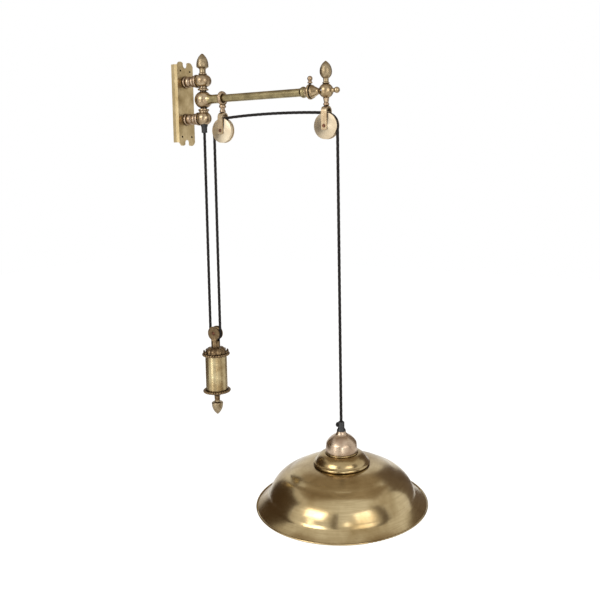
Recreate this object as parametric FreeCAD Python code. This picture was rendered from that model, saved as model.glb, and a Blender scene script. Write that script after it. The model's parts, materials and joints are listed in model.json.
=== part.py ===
import FreeCAD, Part
import math
import os

# A wall light on a swinging arm. Its lamp rises and falls on one cord that runs over two pulleys
# and is balanced by a weight. Origin: middle of the plate's back, on the wall. +X leaves the wall,
# +Z is up. Millimetres. A height counted "from the arm" is 0 on the arm's axis.

V = FreeCAD.Vector
X, Y, Z = V(1, 0, 0), V(0, 1, 0), V(0, 0, 1)

# ---- clearances -------------------------------------------------------------------------------
running_gap = 0.3          # between faces that pass each other
shaft_gap = 0.08           # round a shaft in its bore
cord_gap = 0.3             # between the cord and a groove or bore round it

# ---- wall plate -------------------------------------------------------------------------------
plate_width = 59.0
arm_height = 6.8           # the arm's axis is this far above the plate's middle
plate_shoulder = 84.0      # from the middle up to the flat shoulders
plate_depth = 13.0
plate_wall = 2.0
plate_bevel = 4.5
lobe_rise = 7.0            # lobes stand this far above the shoulders
notch_width = 13.0
notch_depth = 6.0          # notch floor lies this far below the shoulders
wall_screw_y = 30.0        # spacing of the four wall screws
wall_screw_z = 143.0
wall_screw_hole = 4.5
screw_boss = 10.0

# ---- post that carries the arm ----------------------------------------------------------------
post_reach = 50.0          # from the plate's face to the swing axis
knuckle_height = 40.5      # from the arm's axis to each knuckle's ball
upper_ball_radius = 18.5
lower_ball_radius = 16.5
ball_half_height = 13.0
neck_radius = 8.5
ring_radius = 11.8
hub_radius = 19.0
hub_half_height = 17.5
washer_thickness = 2.2
washer_radius = 7.0
pin_radius = 4.0
pin_depth = 11.0           # how far the pin enters each knuckle
post_finial_radius = 12.8
post_finial_height = 31.0
tenon_radius = 3.0
tenon_length = 8.0

# ---- stubs between plate and post -------------------------------------------------------------
stub_foot_radius = 12.0
stub_collar_radius = 14.4   # by the post's ball
stub_bead_radius = 12.2
stub_neck_radius = 9.2
stub_collar_length = 5.0
stub_beads = 2
stud_radius = 4.0
nipple_bore = 5.0
nut_flats = 13.0
nut_thickness = 3.4

# ---- flex and its clamps ----------------------------------------------------------------------
cord_radius = 3.1
lead_radius = 1.8
lead_bend = 4.0
knuckle_bend = 3.5
grip_length = 18.0
grip_top_radius = 7.8
grip_end_radius = 5.8
cord_entry = 11.0          # how far the flex reaches into the post's clamp

# ---- terminal block inside the plate ----------------------------------------------------------
block_width = 34.0
block_height = 28.0
block_depth = 10.0
terminal_pitch = 10.0
terminal_screw_radius = 2.0
terminal_screw_length = 4.0
earth_screw_drop = 13.5     # below the upper stub, beside its nut
earth_head_radius = 3.5
earth_head_thickness = 2.5
earth_thread_radius = 1.5
earth_thread_length = 1.2

# ---- arm --------------------------------------------------------------------------------------
tube_radius = 8.25
tube_wall = 1.2
socket_radius = 9.6
tube_start = 16.0          # from the swing axis
inner_hanger = 52.5        # from the swing axis to the inner pulley
end_reach = 312.0          # from the swing axis to the end ball
eye_radius = 15.5
eye_width = 7.5
ferrule_setback = 52.5     # from the end ball back to the ferrule
ferrule_radius = 11.3
ferrule_length = 10.0
disc_setback = 37.0        # from the end ball back to the clamping disc
disc_radius = 15.0
disc_thickness = 5.0
disc_groove = 2.0
cone_radius = 13.0
cone_end_radius = 6.4
end_ball_radius = 14.6
end_finial_radius = 12.0
end_finial_height = 34.0
end_finial_neck = 10.0
end_neck_radius = 5.3
knob_radius = 6.1
knob_reach = 24.4
knob_neck_radius = 4.2
thumb_radius = 5.3
thumb_height = 15.5
thumb_thread_radius = 1.6
set_screw_radius = 1.8
set_screw_length = 4.0

# ---- pulleys and their forks ------------------------------------------------------------------
pulley_drop = 68.0         # from the arm's axis down to the pulleys' axles
pulley_radius = 26.0
pulley_thickness = 12.0
pitch_radius = 24.8        # to the middle of the flex in the groove
pulley_boss_radius = 5.5
fork_crown = 29.5          # from the arm's axis down to the top of a fork
fork_width = 12.5
fork_thickness = 3.0
fork_gap = 15.0
fork_tail = 8.5            # fork below the axle
axle_radius = 2.5
axle_head_radius = 3.4
axle_head_thickness = 1.6
arch_slope = 4.0           # degrees: the stiff flex leaves the pulleys rising this much

# ---- balance weight ---------------------------------------------------------------------------
weight_drop = 514.0        # from the arm's axis down to the weight's wheel
cheek_radius = 15.6
cheek_thickness = 2.4
cheek_gap = 9.4
weight_neck_radius = 9.8
weight_neck_length = 13.5  # solid neck below the slot for the flex
weight_axle_radius = 2.0
weight_axle_head = 4.2
cap_height = 18.0
shell_radius = 24.0
shell_wall = 1.2
shell_height = 80.0
rim_radius = 27.6
rim_bead = 3.1
base_height = 14.0
base_neck_radius = 6.5
base_neck_length = 10.0
rod_radius = 3.0
weight_finial_radius = 12.4
weight_finial_height = 33.0
slug_clearance = 0.6

# ---- lamp -------------------------------------------------------------------------------------
lamp_drop = 662.0          # from the arm's axis down to the top of the lamp's clamp
lamp_grip_length = 19.0
lamp_grip_radius = 6.6
lamp_grip_flare = 9.0
lamp_cord_entry = 10.0
clamp_screw_radius = 4.8
clamp_screw_length = 5.0
cap_neck_radius = 9.2
bell_height = 23.0
bell_radius = 31.6
bell_shoulder_radius = 30.4
skirt_length = 18.3
cap_wall = 1.0
cap_ring_radius = 33.2
cap_ring_thickness = 3.0
collar_radius = 52.0
collar_height = 23.0
step_radius = 56.6
shade_radius = 175.0
shade_drop = 82.0          # from the collar's foot down to the rim
shade_wall = 0.8
rolled_edge_radius = 1.7
holder_radius = 20.0
holder_length = 58.0
holder_bore = 13.8
holder_bore_depth = 30.0
contact_radius = 5.0
contact_pocket = 3.4       # above the bore, for the contact
sleeve_wall = 0.6
ring_nut_radius = 27.0
ring_nut_thickness = 5.0
nipple_radius = 5.0
nipple_length = 26.0

# ---- places worked out from the sizes ----------------------------------------------------------
post_x = plate_depth + post_reach
inner_x = post_x + inner_hanger
end_x = post_x + end_reach
fall_a_x = post_x
fall_b_x = inner_x - pitch_radius
drop_x = end_x + pitch_radius
weight_x = (fall_a_x + fall_b_x) / 2
loop_radius = (fall_b_x - fall_a_x) / 2
knuckle_face = hub_half_height + running_gap + washer_thickness
plate_inside = plate_depth - plate_wall
inner_wall = plate_wall * (2 - math.sqrt(2))


# ---- ways to make a solid ----------------------------------------------------------------------
def outline(points):
    """Edges from point to point. Two numbers end a straight line; four hold an arc's middle, then its end."""
    edges = []
    for here, there in zip(points, points[1:]):
        start, end = V(here[-2], 0, here[-1]), V(there[-2], 0, there[-1])
        if len(there) == 4:
            edges.append(Part.Arc(start, V(there[0], 0, there[1]), end).toShape())
        else:
            edges.append(Part.makeLine(start, end))
    return edges


def turned(points, place=V(0, 0, 0), axis=Z):
    """Solid turned about an axis at a place, from an outline of (radius, height) that closes itself."""
    face = Part.Face(Part.Wire(outline(points + [points[0][-2:]])))
    solid = face.revolve(V(0, 0, 0), Z, 360)
    solid.Placement = FreeCAD.Placement(place, FreeCAD.Rotation(Z, axis))
    return solid


def ball_end(radius, middle):
    """Outline of a ball that closes a turned piece, from its foot to its pole."""
    return [(0.6 * radius, middle - 0.8 * radius), (radius, middle, 0, middle + radius)]


def sheet(points, thickness, place):
    """Sheet metal of one thickness, turned about Z, with its outside on the outline."""
    face = Part.Wire(outline(points)).makeOffset2D(-thickness, 0, True, True)
    solid = face.revolve(V(0, 0, 0), Z, 360)
    solid.translate(place)
    return solid


def rod(radius, length, place, axis=Z):
    return Part.makeCylinder(radius, length, place, axis)


def tube(radius, bore, length, place, axis=Z):
    return rod(radius, length, place, axis).cut(rod(bore, length, place, axis))


def block(size, middle):
    """Box of a size (x, y, z) about its middle."""
    return Part.makeBox(size.x, size.y, size.z, middle - size / 2)


def hexagon(flats, thickness, place, axis):
    """Six-sided nut blank that starts at a place and runs along an axis."""
    corner = flats / math.sqrt(3)
    corners = [V(corner * math.cos(i * math.pi / 3), corner * math.sin(i * math.pi / 3), 0) for i in range(7)]
    solid = Part.Face(Part.makePolygon(corners)).extrude(Z * thickness)
    solid.Placement = FreeCAD.Placement(place, FreeCAD.Rotation(Z, axis))
    return solid


def cord(edges, radius):
    """Round flex swept along a path of straight runs and arcs."""
    path = Part.Wire(edges)
    start, along = edges[0].valueAt(edges[0].FirstParameter), edges[0].tangentAt(edges[0].FirstParameter)
    section = Part.Wire(Part.makeCircle(radius, start, along))
    solid = path.makePipeShell([section], True, False)
    expected = math.pi * radius ** 2 * path.Length
    print("cord of %.1f mm: volume %.4f of section times length" % (path.Length, solid.Volume / expected))
    return solid


def straight(x, top, bottom):
    return [Part.makeLine(V(x, 0, top), V(x, 0, bottom))]


def arc_about(centre, radius, first, last):
    """Arc in the XZ plane about a centre, from one angle to another, in degrees from +X towards +Z."""
    angles = [math.radians(a) for a in (first, (first + last) / 2, last)]
    points = [centre + V(radius * math.cos(a), 0, radius * math.sin(a)) for a in angles]
    return Part.Arc(*points).toShape()


def together(solids):
    return Part.makeCompound(solids)


pieces = {}


# ---- wall plate: a shallow channel, hollow behind, with a scalloped front -----------------------
def plate_end(sign):
    """Top (1) or bottom (-1) edge of the plate, left to right, as in outline()."""
    half, flat = plate_width / 2, plate_width / 2 - plate_bevel
    notch, top = notch_width / 2, plate_shoulder
    lobe_middle, lobe_foot = (flat + notch) / 2 - 2, top + lobe_rise * 0.6
    right = [(notch, top - notch_depth + notch), (notch, lobe_foot),
             (lobe_middle, top + lobe_rise, flat - 1, top), (half, top)]
    left = [(-half, top), (1 - flat, top), (-lobe_middle, top + lobe_rise, -notch, lobe_foot),
            (-notch, top - notch_depth + notch), (0, top - notch_depth) + right[0]]
    points = left + right[1:]
    return [tuple(v if i % 2 == 0 else sign * v for i, v in enumerate(p)) for p in points]


def plate_profile():
    """The plate's outline as a face in the YZ plane."""
    top, bottom = outline(plate_end(1)), outline(plate_end(-1))
    half, side = plate_width / 2, plate_shoulder
    sides = [Part.makeLine(V(s * half, 0, side), V(s * half, 0, -side)) for s in (1, -1)]
    wire = Part.Wire(Part.__sortEdges__(top + bottom + sides))
    face = Part.Face(wire)
    face.rotate(V(0, 0, 0), Z, 90)
    return face


def bevelled(solid, front, half, size):
    """Chamfers the two long edges of a plate's front face."""
    edges = [e for e in solid.Edges
             if all(abs(v.X - front) < 1e-6 and abs(abs(v.Y) - half) < 1e-6 for v in e.Vertexes)]
    return solid.makeChamfer(size, edges)


body = bevelled(plate_profile().extrude(X * plate_depth), plate_depth, plate_width / 2, plate_bevel)
hollow_half = plate_width / 2 - plate_wall
hollow_height = 2 * (plate_shoulder + lobe_rise + 1)
hollow = block(V(plate_inside, 2 * hollow_half, hollow_height), V(plate_inside / 2, 0, 0))
hollow = bevelled(hollow, plate_inside, hollow_half, plate_bevel - inner_wall)
screw_places = [V(0, y * wall_screw_y / 2, z * wall_screw_z / 2) for y in (-1, 1) for z in (-1, 1)]
for place in screw_places:
    hollow = hollow.cut(rod(screw_boss / 2, plate_depth, place, X))
plate = body.cut(hollow)
for place in screw_places:
    plate = plate.cut(rod(wall_screw_hole / 2, plate_depth, place, X))
for height in (knuckle_height, -knuckle_height):
    plate = plate.cut(rod(stud_radius, plate_depth, V(0, 0, arm_height + height), X))
earth_place = V(plate_inside, 0, arm_height + knuckle_height - earth_screw_drop)
plate = plate.cut(rod(earth_thread_radius, earth_thread_length, earth_place, X))
pieces["backplate"] = plate

# ---- terminal block, earth screw ---------------------------------------------------------------
block_back = plate_inside - block_depth
terminals = [V(block_back, i * terminal_pitch, 0) for i in (-1, 0, 1)]
terminal = block(V(block_depth, block_width, block_height), V(block_back + block_depth / 2, 0, 0))
for place in terminals:
    terminal = terminal.cut(rod(terminal_screw_radius, terminal_screw_length, place, X))
pieces["terminal_block"] = terminal
pieces["terminal_screws"] = together(
    [rod(terminal_screw_radius, terminal_screw_length - 1, p + X, X) for p in terminals])
earth_head = rod(earth_head_radius, earth_head_thickness, earth_place - X * earth_head_thickness, X)
pieces["earth_screw"] = earth_head.fuse(
    rod(earth_thread_radius, earth_thread_length, earth_place, X)).removeSplitter()
for shape in pieces.values():
    shape.translate(V(0, 0, -arm_height))      # from here on, heights are from the arm's axis

# ---- knuckles: turned balls above and below the hub ---------------------------------------------
ring_height = 3.6
ball_foot = knuckle_height - ball_half_height
ball_head = knuckle_height + ball_half_height


def knuckle_foot(radius):
    """Outline from the face by the hub, over its ring and neck, to the foot of a ball."""
    ring_top = knuckle_face + ring_height
    return [(0, knuckle_face), (ring_radius - 1, knuckle_face),
            (ring_radius, knuckle_face + ring_height / 2, ring_radius - 1, ring_top),
            (radius, ring_top + 1.2), (radius, ball_foot)]


crown_ring = 9.2
crown_neck = ball_head + 4.5
upper = turned(knuckle_foot(neck_radius) + [
    (upper_ball_radius, knuckle_height, 10.5, ball_head - 0.8),
    (crown_ring - 0.8, ball_head), (crown_ring, ball_head + 1.4, crown_ring - 1.2, ball_head + 2.8),
    (neck_radius - 1.6, crown_neck), (0, crown_neck)], V(post_x, 0, 0))
pin = rod(pin_radius, 2 * (knuckle_face + pin_depth), V(post_x, 0, -knuckle_face - pin_depth))
tenon = rod(tenon_radius, tenon_length, V(post_x, 0, crown_neck - tenon_length))
stud_end = post_x - 8.0
upper_stud = rod(stud_radius, stud_end - (plate_inside - nut_thickness - 1),
                 V(plate_inside - nut_thickness - 1, 0, knuckle_height), X)
pieces["upper_knuckle"] = upper.cut(pin).cut(tenon).cut(upper_stud)

grip_seat = -(ball_head - 0.5)
lead_x = block_back + lead_radius + running_gap
nipple_back = lead_x + lead_bend
lower = turned([(r[0], -r[1]) if len(r) == 2 else (r[0], -r[1], r[2], -r[3])
                for r in knuckle_foot(neck_radius + 1.2)] + [
    (lower_ball_radius, -knuckle_height, grip_top_radius + 0.6, grip_seat), (0, grip_seat)],
    V(post_x, 0, 0))
passage = rod(nipple_bore / 2, post_x - stud_end, V(stud_end, 0, -knuckle_height), X).fuse(
    rod(nipple_bore / 2, -grip_seat - knuckle_height, V(post_x, 0, grip_seat))).fuse(
    Part.makeSphere(nipple_bore / 2, V(post_x, 0, -knuckle_height)))
nipple_outside = rod(stud_radius, stud_end - nipple_back, V(nipple_back, 0, -knuckle_height), X)
pieces["lower_knuckle"] = lower.cut(pin).cut(nipple_outside).cut(passage)
pieces["pivot_pin"] = pin
pieces["upper_stud"] = upper_stud
pieces["lower_nipple"] = nipple_outside.cut(
    rod(nipple_bore / 2, stud_end - nipple_back, V(nipple_back, 0, -knuckle_height), X))
pieces["stub_nuts"] = together(
    [hexagon(nut_flats, nut_thickness, V(plate_inside - nut_thickness, 0, h), X)
     .cut(rod(stud_radius, nut_thickness, V(plate_inside - nut_thickness, 0, h), X))
     for h in (knuckle_height, -knuckle_height)])
pieces["pivot_washers"] = together(
    [tube(washer_radius, pin_radius, washer_thickness, V(post_x, 0, z))
     for z in (hub_half_height + running_gap, -knuckle_face)])


# ---- stubs: beaded spacers between the plate and the knuckles ------------------------------------
def stub(height, knuckle, ball_radius):
    end = post_reach - ball_radius + 5.0
    pitch = (end - 6.0 - stub_collar_length) / stub_beads
    points = [(0, 0), (stub_foot_radius, 0),
              (stub_foot_radius + 0.6, stub_collar_length / 2, stub_foot_radius - 0.6, stub_collar_length)]
    for i in range(stub_beads):
        foot = stub_collar_length + i * pitch
        points += [(stub_neck_radius, foot + 0.8),
                   (stub_bead_radius, foot + pitch / 2, stub_neck_radius, foot + pitch - 0.6)]
    points += [(stub_collar_radius - 0.9, end - 6.0), (stub_collar_radius, end - 3.0, stub_collar_radius - 0.9, end),
               (0, end)]
    solid = turned(points, V(plate_depth, 0, height), X)
    return solid.cut(knuckle).cut(rod(stud_radius, end, V(plate_depth, 0, height), X))


pieces["upper_stub"] = stub(knuckle_height, upper, upper_ball_radius)
pieces["lower_stub"] = stub(-knuckle_height, lower, lower_ball_radius)

# ---- post finial: an acorn ----------------------------------------------------------------------
acorn_foot = crown_neck + 9.5
acorn_tip = crown_neck + 9.5 + post_finial_height
r = post_finial_radius
pieces["post_finial"] = turned([
    (0, crown_neck - tenon_length), (tenon_radius, crown_neck - tenon_length), (tenon_radius, crown_neck),
    (neck_radius - 1.6, crown_neck), (neck_radius - 1.8, acorn_foot - 3.0),
    (neck_radius - 0.4, acorn_foot - 0.8), (r - 2.6, acorn_foot + 0.6),
    (r - 0.2, acorn_foot + 2.2, r, acorn_foot + 5.0),
    (r * 0.8, acorn_foot + post_finial_height * 0.6, r * 0.2, acorn_tip - 1.2), (0, acorn_tip)],
    V(post_x, 0, 0))

# ---- clamp below the post, where the flex comes out ----------------------------------------------
grip_foot = grip_seat - grip_length
cord_top = grip_foot + cord_entry
grip = turned([
    (0, grip_seat), (grip_top_radius, grip_seat), (grip_top_radius, grip_seat - 2.5),
    (grip_end_radius + 0.6, grip_seat - 5.5), (grip_end_radius + 0.2, grip_foot + 4.0),
    (grip_end_radius + 0.4, grip_foot + 1.0), (grip_end_radius - 0.4, grip_foot), (0, grip_foot)],
    V(post_x, 0, 0))
grip = grip.cut(rod(cord_radius + cord_gap, cord_entry, V(post_x, 0, grip_foot)))
pieces["post_cord_grip"] = grip.cut(rod(lead_radius, grip_length, V(post_x, 0, grip_foot)))

# ---- lead from the terminal block through the lower stub to the flex ------------------------------
lead_height = -knuckle_height
first_turn = V(nipple_back, 0, lead_height + lead_bend)
second_turn = V(post_x - knuckle_bend, 0, lead_height - knuckle_bend)
pieces["internal_lead"] = cord([
    Part.makeLine(V(lead_x, 0, -arm_height - block_height / 2), V(lead_x, 0, first_turn.z)),
    arc_about(first_turn, lead_bend, 180, 270),
    Part.makeLine(V(nipple_back, 0, lead_height), V(second_turn.x, 0, lead_height)),
    arc_about(second_turn, knuckle_bend, 90, 0),
    Part.makeLine(V(post_x, 0, second_turn.z), V(post_x, 0, cord_top))], lead_radius)

# ---- hub and socket: turns between the knuckles and holds the arm ----------------------------------
eye_back = inner_hanger - eye_width / 2
hub = turned([(0, -hub_half_height), (washer_radius + 0.3, -hub_half_height),
              (hub_radius, 0, washer_radius + 0.3, hub_half_height), (0, hub_half_height)], V(post_x, 0, 0))
socket = turned([(0, 0), (hub_radius * 0.7, 0), (hub_radius * 0.7, hub_radius * 0.68),
                 (socket_radius + 0.8, hub_radius + 1.5, socket_radius, hub_radius + 6),
                 (socket_radius, eye_back), (0, eye_back)], V(post_x, 0, 0), X)
tube_outside = rod(tube_radius, end_reach, V(post_x + tube_start, 0, 0), X)
pin_bore = rod(pin_radius + shaft_gap, 4 * hub_radius, V(post_x, 0, -2 * hub_radius))
hub_screw = V(post_x + (tube_start + eye_back) / 2 + 6, 0, -socket_radius)
screws = [rod(set_screw_radius, socket_radius - tube_radius, hub_screw)]
pieces["hub_socket"] = hub.fuse(socket).removeSplitter().cut(tube_outside).cut(pin_bore).cut(screws[0])

# ---- arm tube, ferrule, clamping disc, cone and ball ------------------------------------------------
ferrule_place, disc_place = end_reach - ferrule_setback, end_reach - disc_setback
cone_start = disc_place + disc_thickness / 2 + disc_groove
cone_end = end_reach - end_ball_radius + 0.8
tube_end = cone_start + 6.0
pieces["arm_tube"] = tube(tube_radius, tube_radius - tube_wall, tube_end - tube_start,
                          V(post_x + tube_start, 0, 0), X)
half = ferrule_length / 2
pieces["arm_ferrule"] = turned([
    (tube_radius, -half - 1), (tube_radius + 0.9, -half - 1), (tube_radius + 0.9, -half + 0.8),
    (ferrule_radius, 0, tube_radius + 1.2, half - 0.8), (tube_radius + 1.2, half + 1.4), (tube_radius, half + 1.4)],
    V(post_x + ferrule_place, 0, 0), X)
half = disc_thickness / 2
disc_back = ferrule_place + ferrule_length / 2 + 1.4 - disc_place
thumb_thread = rod(thumb_thread_radius + shaft_gap, 2 * disc_radius, V(post_x + disc_place, 0, 0))
pieces["collar_disc"] = turned([
    (tube_radius, disc_back), (tube_radius + 1.6, disc_back), (tube_radius + 2.2, -half - 1.0),
    (disc_radius - 1.0, -half), (disc_radius + 0.3, 0, disc_radius - 0.6, half),
    (tube_radius, half)], V(post_x + disc_place, 0, 0), X).cut(thumb_thread)
end_ball = Part.makeSphere(end_ball_radius, V(end_x, 0, 0))
cone = turned([
    (0, cone_start - disc_groove), (tube_radius + 0.9, cone_start - disc_groove),
    (tube_radius + 0.9, cone_start), (cone_radius, cone_start),
    (cone_radius + 0.2, cone_start + 1.6, cone_radius - 1.2, cone_start + 3.0),
    (cone_end_radius + 1.0, cone_end - 6.5), (cone_end_radius - 0.2, cone_end - 3.5, cone_end_radius + 0.3, cone_end),
    (0, cone_end)], V(post_x, 0, 0), X)
pieces["end_cone"] = cone.cut(tube_outside.common(rod(tube_radius, tube_end - tube_start,
                              V(post_x + tube_start, 0, 0), X))).cut(end_ball)

# ---- end ball with its finial, front knob and grub screw --------------------------------------------
finial_seat = end_ball_radius - 0.9
finial_foot = finial_seat + end_finial_neck
r = end_finial_radius
end_tenon = rod(tenon_radius, tenon_length, V(end_x, 0, finial_seat - tenon_length))
knob_tenon = rod(tenon_radius, tenon_length, V(end_x + end_ball_radius - 0.7 - tenon_length, 0, 0), X)
neck_tenon = rod(tenon_radius, tenon_length, V(end_x, 0, -finial_seat))
ball_screw = rod(set_screw_radius, set_screw_length, V(end_x - 3.0, -end_ball_radius + 0.9, 1.0), Y)
flats = (block(V(40, 40, 10), V(end_x, 0, finial_seat + 5)), block(V(40, 40, 10), V(end_x, 0, -finial_seat - 5)),
         block(V(10, 40, 40), V(end_x + end_ball_radius - 0.7 + 5, 0, 0)))
ball = end_ball
for cutter in flats + (end_tenon, knob_tenon, neck_tenon, ball_screw):
    ball = ball.cut(cutter)
screw_way = rod(set_screw_radius, 2.0, V(end_x - 3.0, -end_ball_radius - 0.5, 1.0), Y)
pieces["end_ball"] = ball.cut(screw_way)
pieces["end_finial"] = turned([
    (0, finial_seat - tenon_length), (tenon_radius, finial_seat - tenon_length), (tenon_radius, finial_seat),
    (end_neck_radius + 1.0, finial_seat), (end_neck_radius + 2.0, finial_seat + 1.3, end_neck_radius + 1.0, finial_seat + 2.6),
    (end_neck_radius, finial_seat + 3.4), (end_neck_radius + 0.2, finial_foot),
    (r * 0.87, finial_foot + end_finial_height * 0.17, r, finial_foot + end_finial_height * 0.42),
    (r * 0.7, finial_foot + end_finial_height * 0.76, 0.5, finial_foot + end_finial_height - 0.3),
    (0, finial_foot + end_finial_height)], V(end_x, 0, 0))
knob_seat = end_ball_radius - 0.7
pieces["end_knob"] = turned([
    (0, knob_seat - tenon_length), (tenon_radius, knob_seat - tenon_length), (tenon_radius, knob_seat),
    (knob_neck_radius + 0.9, knob_seat), (knob_neck_radius, knob_seat + 2.0),
    (knob_neck_radius, knob_reach - knob_radius - 0.4)] + ball_end(knob_radius, knob_reach), V(end_x, 0, 0), X)

# ---- thumbscrew in the clamping disc -------------------------------------------------------------
thumb_foot = disc_radius + 2 * running_gap + 0.1
thumb_ball = thumb_foot + thumb_height - thumb_radius
r = thumb_radius
pieces["thumbscrew"] = turned([
    (0, tube_radius + running_gap), (thumb_thread_radius, tube_radius + running_gap), (thumb_thread_radius, thumb_foot),
    (r * 0.55, thumb_foot), (r, thumb_foot + 1.4), (r * 0.9, thumb_foot + 3.2)] + ball_end(r, thumb_ball),
    V(post_x + disc_place, 0, 0))


# ---- hangers, forks, axles and pulleys -----------------------------------------------------------
def fork(x):
    """Strap bent over a pulley, with a round end at each leg."""
    outer, inner = fork_gap / 2 + fork_thickness, fork_gap / 2
    arch = -fork_crown - outer
    foot = -pulley_drop - fork_tail
    strap = rod(outer, fork_width, V(x - fork_width / 2, 0, arch), X).fuse(
        block(V(fork_width, 2 * outer, arch - foot), V(x, 0, (arch + foot) / 2)))
    strap = strap.cut(rod(inner, fork_width, V(x - fork_width / 2, 0, arch), X)).cut(
        block(V(fork_width, 2 * inner, arch - foot), V(x, 0, (arch + foot) / 2)))
    round_end = block(V(fork_width, 3 * outer, 2 * outer - foot), V(x, 0, outer / 2 + foot / 2 + fork_width / 2))
    round_end = round_end.fuse(rod(fork_width / 2, 3 * outer, V(x, -1.5 * outer, foot + fork_width / 2), Y))
    axle_hole = rod(axle_radius, 3 * outer, V(x, -1.5 * outer, -pulley_drop), Y)
    return strap.common(round_end).cut(axle_hole).removeSplitter()


def axle(x):
    """Riveted pin across a fork."""
    face = fork_gap / 2 + fork_thickness
    head = axle_head_thickness
    return turned([
        (0, -face - head), (axle_head_radius * 0.6, -face - head),
        (axle_head_radius * 0.95, -face - head * 0.7, axle_head_radius, -face), (axle_radius, -face),
        (axle_radius, face), (axle_head_radius, face),
        (axle_head_radius * 0.95, face + head * 0.7, axle_head_radius * 0.6, face + head), (0, face + head)],
        V(x, 0, -pulley_drop), Y)


def sheave(x, z, radius, pitch, thickness, boss, boss_width, bore):
    """Flat-sided wheel with a groove for the flex and a boss on each side."""
    groove, side = cord_radius + cord_gap, thickness / 2
    return turned([
        (bore, -boss_width / 2), (boss, -boss_width / 2), (boss, -side), (radius - 0.6, -side),
        (radius, 0.6 - side), (radius, -groove), (pitch, -groove), (pitch - groove, 0, pitch, groove),
        (radius, groove), (radius, side - 0.6), (radius - 0.6, side), (boss, side), (boss, boss_width / 2),
        (bore, boss_width / 2)], V(x, 0, z), Y)


half = eye_width / 2
eye = turned([(tube_radius, -half + 0.6), (tube_radius, half - 0.6), (tube_radius + 2.4, half),
              (eye_radius, 0, tube_radius + 2.4, -half)], V(inner_x, 0, 0), X)
neck = turned([
    (0, -fork_crown), (5.4, -fork_crown), (6.6, -fork_crown + 2.4, 5.2, -fork_crown + 5.0),
    (4.8, -fork_crown + 6.0), (4.8, -fork_crown + 8.6), (7.4, -fork_crown + 12.0, 5.8, -fork_crown + 16.0),
    (0, -fork_crown + 16.0)], V(inner_x, 0, 0))
eye_screw = rod(set_screw_radius, eye_radius - tube_radius - 1.6, V(inner_x, 0, tube_radius))
eye_screw_way = rod(set_screw_radius, eye_radius, V(inner_x, 0, tube_radius))
pieces["inner_hanger"] = eye.fuse(neck).removeSplitter().cut(eye_screw_way)
screws += [eye_screw, ball_screw]
pieces["set_screws"] = together(screws)
pieces["outer_hanger"] = turned([
    (0, -fork_crown), (4.2, -fork_crown), (6.0, -fork_crown + 3.4, 4.4, -fork_crown + 6.6),
    (4.6, -fork_crown + 7.4), (6.2, -finial_seat), (tenon_radius, -finial_seat),
    (tenon_radius, -finial_seat + tenon_length), (0, -finial_seat + tenon_length)], V(end_x, 0, 0))
pieces["inner_fork"] = fork(inner_x)
pieces["outer_fork"] = fork(end_x)
pieces["pulley_axles"] = together([axle(inner_x), axle(end_x)])
for name, x in (("inner_sheave", inner_x), ("outer_sheave", end_x)):
    pieces[name] = sheave(x, -pulley_drop, pulley_radius, pitch_radius, pulley_thickness,
                          pulley_boss_radius, fork_gap - 2 * running_gap, axle_radius + shaft_gap)

# ---- flex: down to the weight, back up, over both pulleys and down to the lamp ----------------------
wheel_z = -weight_drop
lamp_top = -lamp_drop
pulley_z = -pulley_drop
pieces["cord_fall_a"] = cord(straight(fall_a_x, cord_top, wheel_z), cord_radius)
pieces["cord_fall_b"] = cord(straight(fall_b_x, pulley_z, wheel_z), cord_radius)
pieces["cord_drop"] = cord(straight(drop_x, pulley_z, lamp_top - lamp_cord_entry), cord_radius)
pieces["cord_weight_loop"] = cord([arc_about(V(weight_x, 0, wheel_z), loop_radius, 180, 360)], cord_radius)
leaves = 90 + arch_slope
first_wrap = arc_about(V(inner_x, 0, pulley_z), pitch_radius, 180, leaves)
last_wrap = arc_about(V(end_x, 0, pulley_z), pitch_radius, 180 - leaves, 0)
arch_ends = (end_x - inner_x) + 2 * pitch_radius * math.sin(math.radians(arch_slope))
arch_radius = arch_ends / 2 / math.sin(math.radians(arch_slope))
arch_top = pulley_z + pitch_radius * math.cos(math.radians(arch_slope))
arch_centre = V((inner_x + end_x) / 2, 0, arch_top - arch_radius * math.cos(math.radians(arch_slope)))
arch = arc_about(arch_centre, arch_radius, leaves, 180 - leaves)
pieces["cord_over_arm"] = cord([first_wrap, arch, last_wrap], cord_radius)
print("radii of the flex: pulleys %.1f, weight %.2f, arch %.0f, lead %.1f and %.1f"
      % (pitch_radius, loop_radius, arch_radius, lead_bend, knuckle_bend))

# ---- weight: wheel in its cheeks -------------------------------------------------------------------
cheek_face = cheek_gap / 2 + cheek_thickness
slot_foot = wheel_z - loop_radius - cord_radius - cord_gap - 0.4
neck_foot = slot_foot - weight_neck_length
cheeks = rod(cheek_radius, 2 * cheek_face, V(weight_x, -cheek_face, wheel_z), Y)
neck_width = 2 * weight_neck_radius
stem_height = wheel_z - neck_foot
stem = rod(weight_neck_radius, stem_height, V(weight_x, 0, neck_foot)).common(
    block(V(neck_width, 2 * cheek_face, stem_height), V(weight_x, 0, wheel_z - stem_height / 2)))
stem = stem.fuse(rod(weight_neck_radius, slot_foot - neck_foot, V(weight_x, 0, neck_foot)))
slot_top = wheel_z + 2 * cheek_radius
slot = block(V(3 * cheek_radius, cheek_gap, slot_top - slot_foot), V(weight_x, 0, (slot_top + slot_foot) / 2))
weight_axle_hole = rod(weight_axle_radius, 4 * cheek_face, V(weight_x, -2 * cheek_face, wheel_z), Y)
rod_top = neck_foot + tenon_length
cap_foot = neck_foot - cap_height
shell_foot = cap_foot - shell_height
base_foot = shell_foot - base_height
base_neck_foot = base_foot - base_neck_length
rod_foot = base_neck_foot - tenon_length
weight_rod = rod(rod_radius, rod_top - rod_foot, V(weight_x, 0, rod_foot))
pieces["weight_fork"] = cheeks.fuse(stem).cut(slot).cut(weight_axle_hole).cut(weight_rod).removeSplitter()
head = weight_axle_head
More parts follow.
